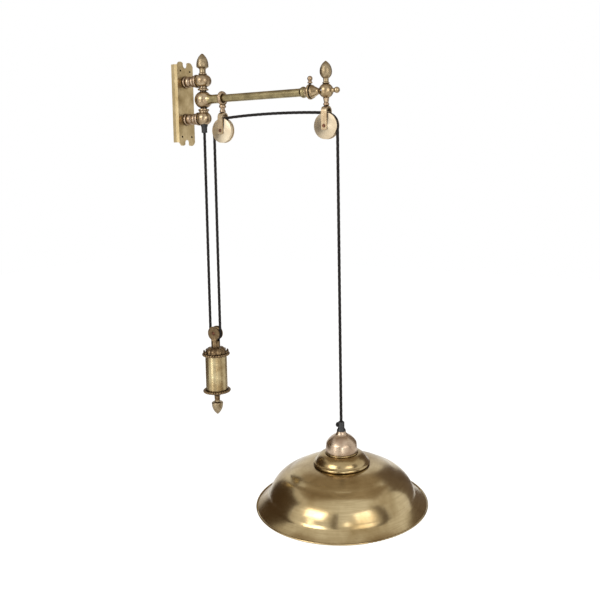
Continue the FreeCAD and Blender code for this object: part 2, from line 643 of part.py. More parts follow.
pieces["weight_axle"] = turned([
    (0, -cheek_face - 1.6), (head * 0.3, -cheek_face - 1.6), (head * 0.8, -cheek_face - 1.1, head, -cheek_face),
    (weight_axle_radius, -cheek_face), (weight_axle_radius, cheek_face), (head, cheek_face),
    (head * 0.8, cheek_face + 1.1, head * 0.3, cheek_face + 1.6), (0, cheek_face + 1.6)],
    V(weight_x, 0, wheel_z), Y)
weight_sheave_thickness = 2 * (cord_radius + cord_gap) + 1.8
pieces["weight_sheave"] = sheave(
    weight_x, wheel_z, loop_radius + 0.6, loop_radius, weight_sheave_thickness,
    4.5, cheek_gap - 2 * running_gap, weight_axle_radius + shaft_gap)

# ---- weight: cap, rims, shell, slug, base, finial ---------------------------------------------------
bore = shell_radius - shell_wall
rim_top = cap_foot + 5.0
pieces["weight_cap"] = turned([
    (0, neck_foot), (weight_neck_radius + 0.8, neck_foot),
    (shell_radius * 0.76, neck_foot - cap_height * 0.2, shell_radius - 1.5, rim_top + 2.2),
    (shell_radius + 0.6, rim_top), (rim_radius - rim_bead, rim_top), (rim_radius - rim_bead, cap_foot),
    (bore, cap_foot), (bore, cap_foot - 4), (0, cap_foot - 4)],
    V(weight_x, 0, 0)).cut(weight_rod)
rims = []
for middle in (cap_foot + 2.0, shell_foot - 1.5):
    rim = Part.makeTorus(rim_radius, rim_bead, V(weight_x, 0, middle), Z)
    rims.append(rim.cut(rod(rim_radius - rim_bead + 0.4, 4 * rim_bead, V(weight_x, 0, middle - 2 * rim_bead))))
pieces["weight_rims"] = together(rims)
pieces["weight_shell"] = tube(shell_radius, bore, shell_height, V(weight_x, 0, shell_foot))
pieces["weight_base"] = turned([
    (0, shell_foot + 4), (bore, shell_foot + 4), (bore, shell_foot), (rim_radius - rim_bead + 0.4, shell_foot),
    (rim_radius - rim_bead + 0.4, shell_foot - 3.5),
    (shell_radius * 0.7, shell_foot - 7.5, base_neck_radius + 2.4, base_foot + 2.0),
    (base_neck_radius, base_foot), (base_neck_radius - 0.6, base_neck_foot), (0, base_neck_foot)],
    V(weight_x, 0, 0)).cut(weight_rod)
slug_foot = shell_foot + 4
pieces["weight_slug"] = tube(bore - slug_clearance, rod_radius + slug_clearance,
                             cap_foot - 4 - running_gap - slug_foot, V(weight_x, 0, slug_foot))
pieces["weight_rod"] = weight_rod
r = weight_finial_radius
finial_top = base_neck_foot
finial_tip = finial_top - weight_finial_height
pieces["weight_finial"] = turned([
    (0, finial_top), (base_neck_radius - 0.6, finial_top), (base_neck_radius, finial_top - 3.0),
    (r - 1.4, finial_top - 4.2), (r + 0.1, finial_top - 6.0, r, finial_top - 8.5),
    (r * 0.72, finial_top - weight_finial_height * 0.68, r * 0.12, finial_tip + 1.0), (0, finial_tip)],
    V(weight_x, 0, 0)).cut(weight_rod)

# ---- lamp: clamp, screw, nipple, bell cap and its ring -----------------------------------------------
cap_top = lamp_top - lamp_grip_length
grip = turned([
    (0, lamp_top), (lamp_grip_radius - 1.0, lamp_top), (lamp_grip_radius, lamp_top - 1.2),
    (lamp_grip_radius, cap_top + 6.0), (lamp_grip_flare, cap_top + 2.0), (lamp_grip_flare, cap_top), (0, cap_top)],
    V(drop_x, 0, 0))
clamp_height = lamp_top - 7.5
clamp_start = lamp_grip_radius - 1.5
nipple_top = cap_top + 4.0
nipple_foot = nipple_top - nipple_length
clamp_hole = rod(clamp_screw_radius * 0.4, clamp_start, V(drop_x - clamp_start, 0, clamp_height), X)
nipple_outside = rod(nipple_radius, nipple_length, V(drop_x, 0, nipple_foot))
grip = grip.cut(rod(cord_radius + cord_gap, lamp_cord_entry, V(drop_x, 0, lamp_top - lamp_cord_entry)))
clamp_collar = rod(clamp_screw_radius - 0.8, 2.0, V(drop_x - lamp_grip_radius - 0.6, 0, clamp_height), X)
pieces["lamp_grip_screw"] = turned([
    (0, 0), (clamp_screw_radius * 0.4, 0), (clamp_screw_radius * 0.4, 1.8),
    (clamp_screw_radius, 2.4), (clamp_screw_radius, clamp_screw_length),
    (clamp_screw_radius * 0.75, clamp_screw_length + 1.3), (0, clamp_screw_length + 1.6)],
    V(drop_x - clamp_start + 0.4, 0, clamp_height), X * -1)
pieces["lamp_cord_grip"] = grip.fuse(clamp_collar.common(rod(20, 40, V(drop_x, 0, cap_top)))).cut(
    nipple_outside).cut(rod(cord_radius + cord_gap, lamp_cord_entry, V(drop_x, 0, lamp_top - lamp_cord_entry))).cut(
    pieces["lamp_grip_screw"]).removeSplitter()
pieces["lamp_nipple"] = nipple_outside.cut(rod(lead_radius, nipple_length, V(drop_x, 0, nipple_foot)))
skirt_top = cap_top - bell_height
skirt_foot = skirt_top - skirt_length
bell = sheet([
    (nipple_radius, cap_top), (cap_neck_radius, cap_top),
    (cap_neck_radius + 1.4, cap_top - bell_height * 0.2, bell_radius * 0.45, cap_top - bell_height * 0.35),
    (bell_radius * 0.78, cap_top - bell_height * 0.68, bell_shoulder_radius, skirt_top),
    (bell_radius, skirt_top - 7.0, bell_radius, skirt_foot)], cap_wall, V(drop_x, 0, 0))
pieces["lamp_cap"] = bell
ring_foot = skirt_foot - cap_ring_thickness
pieces["cap_ring"] = turned([
    (bell_radius - 6.0, skirt_foot), (bell_radius + 0.4, skirt_foot),
    (cap_ring_radius + 0.5, (skirt_foot + ring_foot) / 2, cap_ring_radius, ring_foot),
    (bell_radius - 6.0, ring_foot)], V(drop_x, 0, 0))

# ---- lamp: collar and shade ---------------------------------------------------------------------------
collar_foot = ring_foot - collar_height
step_top = collar_foot + 6.0
pieces["shade_collar"] = sheet([
    (holder_radius + running_gap, ring_foot), (cap_ring_radius, ring_foot),
    (collar_radius - 7.5, ring_foot - 4.5, collar_radius, step_top + 2.6), (step_radius - 2.0, step_top),
    (step_radius + 0.6, (step_top + collar_foot) / 2, step_radius - 0.4, collar_foot)], shade_wall, V(drop_x, 0, 0))
shade_top = collar_foot
rim_z = collar_foot - shade_drop
shade = sheet([
    (step_radius - 8.0, shade_top), (step_radius - 0.6, shade_top - 0.6),
    (shade_radius * 0.474, shade_top - 4.6, shade_radius * 0.613, shade_top - shade_drop * 0.2),
    (shade_radius * 0.766, shade_top - shade_drop * 0.42, shade_radius * 0.854, shade_top - shade_drop * 0.77),
    (shade_radius * 0.925, shade_top - shade_drop * 0.905, shade_radius - rolled_edge_radius * 0.6, rim_z)],
    shade_wall, V(drop_x, 0, 0))
edge = Part.makeTorus(shade_radius - rolled_edge_radius, rolled_edge_radius,
                      V(drop_x, 0, rim_z + rolled_edge_radius * 0.4), Z)
pieces["shade"] = shade.fuse(edge).removeSplitter()

# ---- lamp: lampholder, its threaded sleeve, contact and the ring that clamps the shade ------------------
holder_top = nipple_foot + 6.0
holder_foot = holder_top - holder_length
holder = rod(holder_radius, holder_length, V(drop_x, 0, holder_foot))
holder = holder.cut(rod(holder_bore + sleeve_wall, holder_bore_depth, V(drop_x, 0, holder_foot)))
contact_top = holder_foot + holder_bore_depth + contact_pocket
holder = holder.cut(rod(contact_radius + 1.0, contact_top - holder_foot, V(drop_x, 0, holder_foot)))
pieces["lampholder"] = holder.cut(nipple_outside).cut(rod(lead_radius, holder_length, V(drop_x, 0, holder_foot)))
pieces["socket_sleeve"] = tube(holder_bore + sleeve_wall, holder_bore, holder_bore_depth, V(drop_x, 0, holder_foot))
pieces["socket_contact"] = turned([
    (0, contact_top), (contact_radius, contact_top), (contact_radius, contact_top - 1.0),
    (contact_radius / 2, contact_top - 3.0), (0, contact_top - 3.2)], V(drop_x, 0, 0))
nut_top = ring_foot - shade_wall
pieces["shade_ring"] = tube(ring_nut_radius, holder_radius, ring_nut_thickness,
                            V(drop_x, 0, nut_top - ring_nut_thickness))

# ---- export ---------------------------------------------------------------------------------------------
os.makedirs("parts", exist_ok=True)
for name, shape in pieces.items():
    if not shape.isValid() or shape.Volume <= 0:
        print("check", name, shape.isValid(), shape.Volume)
    shape.translate(V(0, 0, arm_height))
    shape.exportStep("parts/%s.step" % name)
box = Part.makeCompound(list(pieces.values())).optimalBoundingBox(False, False)
print("%d nodes, x %.1f to %.1f, y %.1f to %.1f, z %.1f to %.1f"
      % (len(pieces), box.XMin, box.XMax, box.YMin, box.YMax, box.ZMin, box.ZMax))
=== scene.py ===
import json
import math

import bmesh
import bpy
from mathutils import Matrix, Vector

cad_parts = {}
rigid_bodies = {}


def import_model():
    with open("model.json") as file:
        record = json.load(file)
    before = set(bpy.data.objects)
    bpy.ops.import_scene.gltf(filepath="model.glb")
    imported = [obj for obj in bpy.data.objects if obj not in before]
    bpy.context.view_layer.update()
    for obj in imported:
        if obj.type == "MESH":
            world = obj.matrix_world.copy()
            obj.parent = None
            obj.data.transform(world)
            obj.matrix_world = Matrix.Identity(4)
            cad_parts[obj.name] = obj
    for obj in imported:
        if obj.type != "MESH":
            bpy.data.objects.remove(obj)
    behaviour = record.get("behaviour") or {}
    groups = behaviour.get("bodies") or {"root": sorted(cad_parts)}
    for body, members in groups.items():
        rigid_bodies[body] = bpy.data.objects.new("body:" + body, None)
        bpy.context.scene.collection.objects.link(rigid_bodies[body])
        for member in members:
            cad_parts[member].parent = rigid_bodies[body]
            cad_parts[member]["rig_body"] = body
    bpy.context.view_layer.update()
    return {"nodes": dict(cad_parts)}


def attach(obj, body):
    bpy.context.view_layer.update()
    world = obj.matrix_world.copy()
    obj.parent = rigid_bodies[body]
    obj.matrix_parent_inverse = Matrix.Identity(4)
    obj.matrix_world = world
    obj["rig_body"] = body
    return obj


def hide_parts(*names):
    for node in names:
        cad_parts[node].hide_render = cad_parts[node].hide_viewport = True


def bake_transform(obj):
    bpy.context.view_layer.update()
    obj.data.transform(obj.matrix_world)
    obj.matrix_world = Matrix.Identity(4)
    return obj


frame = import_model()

nodes = frame["nodes"]

# ---- Camera ------------------------------------------------------------------------------------
# The photograph looks a little down on the light, from beyond the arm's outer end and well to one
# side of it. Its place and lens come from the known sizes of the shade, the plate and the pulleys.
mm = 0.001
image_side = 600
camera_place = Vector((1121.8, -1225.8, -140.9)) * mm
camera_turn, camera_dip, camera_roll = (math.radians(a) for a in (30.64, 5.74, -0.73))
focal_pixels = 723.8
axis_pixel = (337.1, 239.3)        # where the lens looks, in the photograph's frame

right = Vector((math.cos(camera_turn), math.sin(camera_turn), 0))
ahead = Vector((-math.sin(camera_turn) * math.cos(camera_dip),
                math.cos(camera_turn) * math.cos(camera_dip), -math.sin(camera_dip)))
above = right.cross(ahead)
rolled_right = right * math.cos(camera_roll) + above * math.sin(camera_roll)
rolled_above = above * math.cos(camera_roll) - right * math.sin(camera_roll)
lens = bpy.data.cameras.new("camera")
lens.sensor_width = 36
lens.lens = focal_pixels / image_side * lens.sensor_width
lens.shift_x = 0.5 - axis_pixel[0] / image_side
lens.shift_y = axis_pixel[1] / image_side - 0.5
lens.clip_end = 20
camera = bpy.data.objects.new("camera", lens)
camera.matrix_world = Matrix((rolled_right, rolled_above, -ahead)).transposed().to_4x4()
camera.location = camera_place
bpy.context.scene.collection.objects.link(camera)
bpy.context.scene.camera = camera


# ---- Flex --------------------------------------------------------------------------------------
# One flex, three cores twisted under a black cotton braid. It runs from the clamp under the post
# down round the weight's wheel, up again, over both pulleys and down to the lamp, always tight.
def linear(hex_colour):
    """An sRGB colour such as "b09860" as linear red, green, blue and alpha."""
    parts = [int(hex_colour[i:i + 2], 16) / 255 for i in (0, 2, 4)]
    return [p / 12.92 if p <= 0.04045 else ((p + 0.055) / 1.055) ** 2.4 for p in parts] + [1.0]


def add(tree, kind, inputs=None, **settings):
    """Adds a node with its settings. Each input, by name or number, gets a value or a link."""
    node = tree.nodes.new(kind)
    for key, value in settings.items():
        setattr(node, key, value)
    for key, value in (inputs or {}).items():
        if isinstance(value, bpy.types.NodeSocket):
            tree.links.new(value, node.inputs[key])
        else:
            node.inputs[key].default_value = value
    return node


def blank_material(name):
    """An empty material's tree and its shader, already joined to the output."""
    material = bpy.data.materials.new(name)
    material.use_nodes = True
    tree = material.node_tree
    tree.nodes.clear()
    shader = add(tree, "ShaderNodeBsdfPrincipled")
    add(tree, "ShaderNodeOutputMaterial", {"Surface": shader.outputs[0]})
    return material, tree, shader


def braided_cotton(name):
    """Black cotton braid: matt, with its threads crossing at a slant, the gaps between them painted darker as
    shade, and a brown cast where worn.
    """
    material, tree, shader = blank_material(name)
    threads_round = 12             # drawn a little coarser than the real 16, so that they show
    thread_slant = math.radians(40)
    around = add(tree, "ShaderNodeUVMap")
    height = None
    for slant in (1, -1):
        turned_map = add(tree, "ShaderNodeMapping", {
            "Vector": around.outputs[0], "Rotation": (0, 0, slant * thread_slant),
            "Scale": (threads_round / 2, threads_round / 2, 1)})
        band = add(tree, "ShaderNodeTexWave", {
            "Vector": turned_map.outputs[0], "Scale": 1.0, "Distortion": 0.4},
            wave_type="BANDS", bands_direction="X")
        height = band.outputs["Fac"] if height is None else add(
            tree, "ShaderNodeMath", {0: height, 1: band.outputs["Fac"]}, operation="MAXIMUM").outputs[0]
    place = add(tree, "ShaderNodeTexCoord")
    wear = add(tree, "ShaderNodeTexNoise", {
        "Vector": place.outputs["Object"], "Scale": 90.0, "Detail": 3.0})    # worn patches 11 mm long
    # painted shade: the gaps between the threads are painted darker than their crests
    threads_with_gap_shade = add(tree, "ShaderNodeMix", {
        0: height, 6: linear("080706"), 7: linear("1d1917")}, data_type="RGBA")
    worn = add(tree, "ShaderNodeMix", {
        0: wear.outputs["Fac"], 6: threads_with_gap_shade.outputs[2], 7: linear("17100c")}, data_type="RGBA")
    bump = add(tree, "ShaderNodeBump", {"Height": height, "Strength": 0.8, "Distance": 0.0004})
    tree.links.new(worn.outputs[2], shader.inputs["Base Color"])
    tree.links.new(bump.outputs[0], shader.inputs["Normal"])
    shader.inputs["Roughness"].default_value = 0.82
    shader.inputs["IOR"].default_value = 1.4
    return material


def show(name, mesh, material, body, replaced=()):
    """Puts a finished mesh in the scene on its body, in place of the CAD nodes it replaces."""
    piece = bpy.data.objects.new(name, mesh)
    bpy.context.scene.collection.objects.link(piece)
    mesh.materials.clear()
    mesh.materials.append(material)
    if body:
        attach(piece, body)
    if replaced:
        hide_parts(*replaced)
    return piece


def spline_line(name, route):
    """The smooth line of a route of (x, z) points in mm, as points in metres."""
    curve = bpy.data.curves.new(name, "CURVE")
    curve.dimensions = "3D"
    curve.resolution_u = 16
    spline = curve.splines.new("NURBS")
    spline.points.add(len(route) - 1)
    for point, (x, z) in zip(spline.points, route):
        point.co = (x * mm, 0, z * mm, 1)
    spline.order_u = 3
    spline.use_endpoint_u = True
    holder = bpy.data.objects.new(name, curve)
    line = bpy.data.meshes.new_from_object(holder)
    points = [v.co.copy() for v in line.vertices]
    bpy.data.objects.remove(holder)
    return points


def stepped(points, step):
    """Points along a line at an even spacing, both ends included."""
    lengths = [0.0]
    for a, b in zip(points, points[1:]):
        lengths.append(lengths[-1] + (b - a).length)
    count = max(2, round(lengths[-1] / step))
    result, i = [], 0
    for k in range(count + 1):
        target = lengths[-1] * k / count
        while i < len(points) - 2 and lengths[i + 1] < target:
            i += 1
        share = (target - lengths[i]) / max(lengths[i + 1] - lengths[i], 1e-9)
        result.append(points[i].lerp(points[i + 1], min(share, 1.0)))
    return result, lengths[-1]


flex_radius = 3.1 * mm
core_swell = 0.045                 # how far the three twisted cores swell the braid
core_pitch = 38 * mm
flex_sides = 20
flex_step = 1.6 * mm               # the length of one ring of the tube
flex_braid = braided_cotton("braided_cotton")


def flex(name, route, node, along=0.0):
    """A stretch of flex: a tube along its route, a little three-lobed from the cores inside it.
    Along is how far from the flex's start it begins, in metres, so that the twist runs on."""
    path, length = stepped(spline_line(name + "_line", route), flex_step)
    bm = bmesh.new()
    around = bm.loops.layers.uv.new("around")
    across = Vector((0, 1, 0))
    rings = []
    for i, point in enumerate(path):
        tangent = (path[min(i + 1, len(path) - 1)] - path[max(i - 1, 0)]).normalized()
        side = tangent.cross(across)
        travelled = along + length * i / (len(path) - 1)
        ring = []
        for s in range(flex_sides):
            angle = 2 * math.pi * s / flex_sides
            lobe = math.cos(3 * (angle - 2 * math.pi * travelled / core_pitch))
            radius = flex_radius * (1 - core_swell + core_swell * lobe)
            outward = side * math.cos(angle) + across * math.sin(angle)
            ring.append(bm.verts.new(point + outward * radius))
        rings.append((ring, travelled))
    for (ring, low), (following, high) in zip(rings, rings[1:]):
        for s in range(flex_sides):
            t = (s + 1) % flex_sides
            face = bm.faces.new((ring[s], ring[t], following[t], following[s]))
            face.smooth = True
            for loop, (u, v) in zip(face.loops, ((s, low), (s + 1, low), (s + 1, high), (s, high))):
                loop[around].uv = (u / flex_sides, v / (2 * math.pi * flex_radius))
    bm.faces.new(rings[0][0])
    bm.faces.new(rings[-1][0])
    bmesh.ops.recalc_face_normals(bm, faces=bm.faces)
    mesh = bpy.data.meshes.new(name)
    bm.to_mesh(mesh)
    piece = show(name, mesh, flex_braid, None, (node,))
    return piece


arm_height = 6.8                   # the arm's axis is this far above the middle of the plate
post_x = 63.0                      # the axis that the arm swings about, from the wall
inner_x, end_x = post_x + 52.5, post_x + 312.0
pulley_z, wheel_z = arm_height - 68.0, arm_height - 514.0
pitch = 24.8                       # flex centre on the pulleys
fall_b_x = inner_x - pitch
weight_x = (post_x + fall_b_x) / 2
loop = fall_b_x - weight_x
drop_x = end_x + pitch
clear_run = 37.0                   # six diameters: the flex is straight this close to a pulley
grip_inside, lamp_inside = arm_height - 60.0, arm_height - 672.0
loop_start, fall_b_start = 0.454, 0.498          # metres along the flex from the post's clamp
over_arm_start, drop_start = 0.944, 1.282

fall_a = flex("flex_fall_a", [
    (post_x, grip_inside), (post_x, grip_inside - clear_run),
    (post_x, wheel_z + clear_run), (post_x, wheel_z)], "cord_fall_a")
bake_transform(fall_a)
eighth = loop * math.tan(math.radians(22.5))
weight_loop = flex("flex_weight_loop", [
    (post_x, wheel_z), (post_x, wheel_z - eighth), (weight_x - eighth, wheel_z - loop),
    (weight_x + eighth, wheel_z - loop), (fall_b_x, wheel_z - eighth), (fall_b_x, wheel_z)],
    "cord_weight_loop", loop_start)
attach(weight_loop, "weight")
fall_b = flex("flex_fall_b", [
    (fall_b_x, wheel_z), (fall_b_x, wheel_z + clear_run),
    (fall_b_x, pulley_z - clear_run), (fall_b_x, pulley_z)], "cord_fall_b", fall_b_start)
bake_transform(fall_b)
bend = pitch * math.tan(math.radians(22.5))
arch_height = 5.0                  # the stiff flex bows up between the pulleys
span = end_x - inner_x
over_arm = flex("flex_over_arm", [
    (fall_b_x, pulley_z), (fall_b_x, pulley_z + bend), (inner_x - bend, pulley_z + pitch),
    (inner_x + span * 0.18, pulley_z + pitch + arch_height * 0.75),
    (inner_x + span * 0.42, pulley_z + pitch + arch_height * 1.05),
    (end_x - span * 0.38, pulley_z + pitch + arch_height * 1.0),
    (end_x - span * 0.17, pulley_z + pitch + arch_height * 0.7),
    (end_x + bend, pulley_z + pitch), (drop_x, pulley_z + bend), (drop_x, pulley_z)],
    "cord_over_arm", over_arm_start)
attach(over_arm, "arm")
drop = flex("flex_drop", [
    (drop_x, pulley_z), (drop_x, pulley_z - clear_run),
    (drop_x, lamp_inside + clear_run), (drop_x, lamp_inside)], "cord_drop", drop_start)
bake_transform(drop)


# ---- Wall plate --------------------------------------------------------------------------------
# A shallow cast brass channel with scalloped ends and bevelled long edges, brushed along its length
# and toned to an old gold. Four wall screws go through it; the terminal block sits behind it.
def brass(name, bright, toned, hollow_polish_and_shade, roughness, line_size, blotch_size, brushed=None, turned=None,
          polish_and_shade_reach=5.0, line_share=0.5, relief=0.05):
    """Aged brass, from its polished, toned and darkest colours. The darkest is painted into hollows and
    where parts meet, both as old polish and as painted shade. Sizes are in mm: of its marks, its cloudy
    patches, and how far that painted shade reaches. Real marks are about 0.1 mm wide, so they are drawn
    coarser to show. Brushed is their direction; turned is a place and an axis they run round."""
    material, tree, shader = blank_material(name)
    place = add(tree, "ShaderNodeTexCoord").outputs["Object"]
    if turned:
        centre, axis = turned
        across = [0.0 if letter == axis else 1.0 for letter in "XYZ"]
        spoke = add(tree, "ShaderNodeVectorMath", {
            0: place, 1: [c * mm for c in centre]}, operation="SUBTRACT")
        flat = add(tree, "ShaderNodeVectorMath", {0: spoke.outputs[0], 1: across}, operation="MULTIPLY")
        radius = add(tree, "ShaderNodeVectorMath", {0: flat.outputs[0]}, operation="LENGTH")
        along = add(tree, "ShaderNodeSeparateXYZ", {0: spoke.outputs[0]}).outputs[axis]
        ring = add(tree, "ShaderNodeCombineXYZ", {"X": radius.outputs["Value"], "Y": along})
        drift = add(tree, "ShaderNodeVectorMath", {0: place, "Scale": 0.04}, operation="SCALE")
        way = add(tree, "ShaderNodeVectorMath", {
            0: ring.outputs[0], 1: drift.outputs[0]}, operation="ADD").outputs[0]
    else:
        squeezed = [0.03 if letter == brushed else 1.0 for letter in "XYZ"]
        way = add(tree, "ShaderNodeMapping", {"Vector": place, "Scale": squeezed}).outputs[0]
    mark = add(tree, "ShaderNodeTexNoise", {"Vector": way, "Scale": 1000 / line_size, "Detail": 2.0})
    blotch = add(tree, "ShaderNodeTexNoise", {
        "Vector": place, "Scale": 1000 / blotch_size, "Detail": 4.0, "Roughness": 0.55})
    tone = add(tree, "ShaderNodeMapRange", {
        "Value": blotch.outputs["Fac"], "From Min": 0.36, "From Max": 0.66})
    marked = add(tree, "ShaderNodeMapRange", {
        "Value": mark.outputs["Fac"], "From Min": 0.35, "From Max": 0.7, "To Max": line_share})
    base = add(tree, "ShaderNodeMix", {
        0: tone.outputs[0], 6: linear(bright), 7: linear(toned)}, data_type="RGBA")
    lined = add(tree, "ShaderNodeMix", {
        0: marked.outputs[0], 6: base.outputs[2], 7: linear(toned)}, data_type="RGBA")
    # painted shade: the colour darkens towards the darkest one where other surfaces are near, in hollows,
    # grooves and where parts meet, standing for old polish and for shade
    occlusion = add(tree, "ShaderNodeAmbientOcclusion", {"Distance": polish_and_shade_reach * mm}, samples=6)
    polish_and_shade_share = add(tree, "ShaderNodeMapRange", {
        "Value": occlusion.outputs["AO"], "From Min": 0.3, "From Max": 0.9, "To Min": 1.0, "To Max": 0.0})
    with_polish_and_shade = add(tree, "ShaderNodeMix", {
        0: polish_and_shade_share.outputs[0], 6: lined.outputs[2], 7: linear(hollow_polish_and_shade)}, data_type="RGBA")
    rough = add(tree, "ShaderNodeMapRange", {
        "Value": blotch.outputs["Fac"], "From Min": 0.3, "From Max": 0.7,
        "To Min": roughness - 0.04, "To Max": roughness + 0.07})
    worked = add(tree, "ShaderNodeBump", {
        "Height": mark.outputs["Fac"], "Strength": 0.6, "Distance": relief * mm})
    tree.links.new(with_polish_and_shade.outputs[2], shader.inputs["Base Color"])
    tree.links.new(rough.outputs[0], shader.inputs["Roughness"])
    tree.links.new(worked.outputs[0], shader.inputs["Normal"])
    shader.inputs["Metallic"].default_value = 1.0
    return material


def dressed(name, material, edge=0.0):
    """A copy of a CAD node with its triangles merged, smooth but for its real edges. Edge is how far
    those are rounded, in mm."""
    bm = bmesh.new()
    bm.from_mesh(nodes[name].data)
    bmesh.ops.remove_doubles(bm, verts=bm.verts, dist=0.002 * mm)
    if edge:
        bmesh.ops.dissolve_limit(bm, angle_limit=math.radians(0.2), verts=bm.verts, edges=bm.edges)
    mesh = bpy.data.meshes.new(name + "_skin")
    bm.to_mesh(mesh)
    mesh.shade_smooth()
    mesh.set_sharp_from_angle(angle=math.radians(28))
    body = nodes[name]["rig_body"]
    piece = show(name + "_skin", mesh, material, body, (name,))
    if edge:
        softening = piece.modifiers.new("softened edges", "BEVEL")
        softening.width = edge * mm
        softening.segments = 2
        softening.limit_method = "ANGLE"
        softening.angle_limit = math.radians(30)
    return piece


# brushed brass: pale gold streaks up and down, which give a soft upright sheen
plate_gold = brass("brushed_plate_brass", "d2bd92", "aa9468", "4a3521", 0.33, 0.8, 28, brushed="Z")
dressed("backplate", plate_gold, 0.5)

# ---- Terminal block, lead and the steel behind ---------------------------------------------------
# A glazed ceramic block with brass screws, an earth screw, and the steel studs, nuts and pins that
# hold the light together. All but the block's back is out of sight on the wall.
def mottled(name, colours, scale, detail, roughness, metallic=None, ior=None, relief=None):
    """A material whose colour drifts between two tones, over patches 1000 / scale mm wide. Relief is
    the strength and the height, in metres, of its grain."""
    material, tree, shader = blank_material(name)
    place = add(tree, "ShaderNodeTexCoord").outputs["Object"]
    grain = add(tree, "ShaderNodeTexNoise", {"Vector": place, "Scale": scale, "Detail": detail})
    tone = add(tree, "ShaderNodeMix", {
        0: grain.outputs["Fac"], 6: linear(colours[0]), 7: linear(colours[1])}, data_type="RGBA")
    tree.links.new(tone.outputs[2], shader.inputs["Base Color"])
    if relief:
        bump = add(tree, "ShaderNodeBump", {
            "Height": grain.outputs["Fac"], "Strength": relief[0], "Distance": relief[1]})
        tree.links.new(bump.outputs[0], shader.inputs["Normal"])
    shader.inputs["Roughness"].default_value = roughness
    if metallic is not None:
        shader.inputs["Metallic"].default_value = metallic
    if ior is not None:
        shader.inputs["IOR"].default_value = ior
    return material


# glazed porcelain: warm white with a wet shine, its glaze clouded over 8 mm
ceramic = mottled("glazed_ceramic", ("e9e6dc", "d6d1c2"), 120.0, 3.0, 0.18, ior=1.5)
# turned mild steel: plain grey, satin, its turning marks drawn 0.7 mm wide
steel = mottled("turned_steel", ("b9babc", "8a8b8d"), 1400.0, 3.0, 0.35, metallic=1.0)
# sand-cast iron: dull, nearly black, pitted by sand of 1 to 2 mm
iron = mottled("rough_cast_iron", ("3c3a38", "232120"), 700.0, 4.0, 0.7, metallic=0.6, relief=(0.5, 0.0004))
# extruded rubber: chalky and matt, a little dirty over 2 mm
sheath = mottled("pale_rubber_sheath", ("d4d2ca", "bdbab0"), 500.0, 3.0, 0.6)
# pressed brass that never saw the weather: clean and yellow
socket_brass = brass("pressed_socket_brass", "e2c67c", "c8a85c", "5a4322", 0.25, 0.8, 20, brushed="Z")
dressed("terminal_block", ceramic, 0.6)
dressed("internal_lead", sheath)
for name in ("terminal_screws", "earth_screw", "socket_sleeve", "socket_contact"):
    dressed(name, socket_brass)
for name in ("upper_stud", "lower_nipple", "stub_nuts", "pivot_pin", "weight_rod", "lamp_nipple",
             "set_screws"):
    dressed(name, steel)
dressed("weight_slug", iron)

# ---- Stubs, knuckles and hub ---------------------------------------------------------------------
# Turned brass spacers and balls, polished on the lathe, with a rosy tone from old lacquer. Every groove
# is painted dark, both as old polish and as painted shade. The hub turns on a pin between the two knuckles.
knuckle_height = 40.5              # the stubs and knuckles are this far above and below the arm
# lathe-turned brass: round, rosy highlights, with fine rings
balls_rosy = brass("turned_ball_brass", "b9a688", "8c765a", "21150f", 0.29, 0.7, 14,
                   turned=((post_x, 0, 0), "Z"), polish_and_shade_reach=7.0)
for name, height in (("upper_stub", arm_height + knuckle_height),
                     ("lower_stub", arm_height - knuckle_height)):
    dressed(name, brass("turned_" + name + "_brass", "b3a088", "826a54", "1c110c", 0.29, 0.7, 10,
                        turned=((0, 0, height), "X"), polish_and_shade_reach=6.0))
for name in ("upper_knuckle", "lower_knuckle", "pivot_washers"):
    dressed(name, balls_rosy)

# ---- Arm -----------------------------------------------------------------------------------------
# A drawn brass tube, olive with age and brushed along its length, in the hub's socket. A turned
# ferrule, a disc, a cone and a ball with a small front knob end it; a thumbscrew bears on the disc.
# drawn brass: olive, with streaks along the tube that stretch each highlight
tube_olive = brass("drawn_tube_brass", "a5966e", "75684a", "1e180f", 0.27, 0.8, 22, brushed="X")
# lathe-turned brass: rings round the arm's axis, a little darker than the balls
end_turned = brass("turned_end_brass", "b5a180", "897354", "26190f", 0.28, 0.6, 12,
                   turned=((0, 0, arm_height), "X"))
hub = dressed("hub_socket", balls_rosy)
hub.data.materials.append(tube_olive)
socket_start = post_x + 18.0       # the hub's ball gives way to its socket here
for face in hub.data.polygons:
    if face.center.x > socket_start * mm:
        face.material_index = 1
for name in ("arm_tube", "arm_ferrule"):
    dressed(name, tube_olive)
for name in ("collar_disc", "end_cone", "end_knob", "end_ball"):
    dressed(name, end_turned)
# lathe-turned brass: rings round the upright hangers and the thumbscrew
end_upright = brass("turned_hanger_brass", "bda88a", "917860", "281a10", 0.28, 0.6, 10,
                    turned=((end_x, 0, 0), "Z"))
for name in ("inner_hanger", "outer_hanger", "thumbscrew"):
    dressed(name, end_upright)

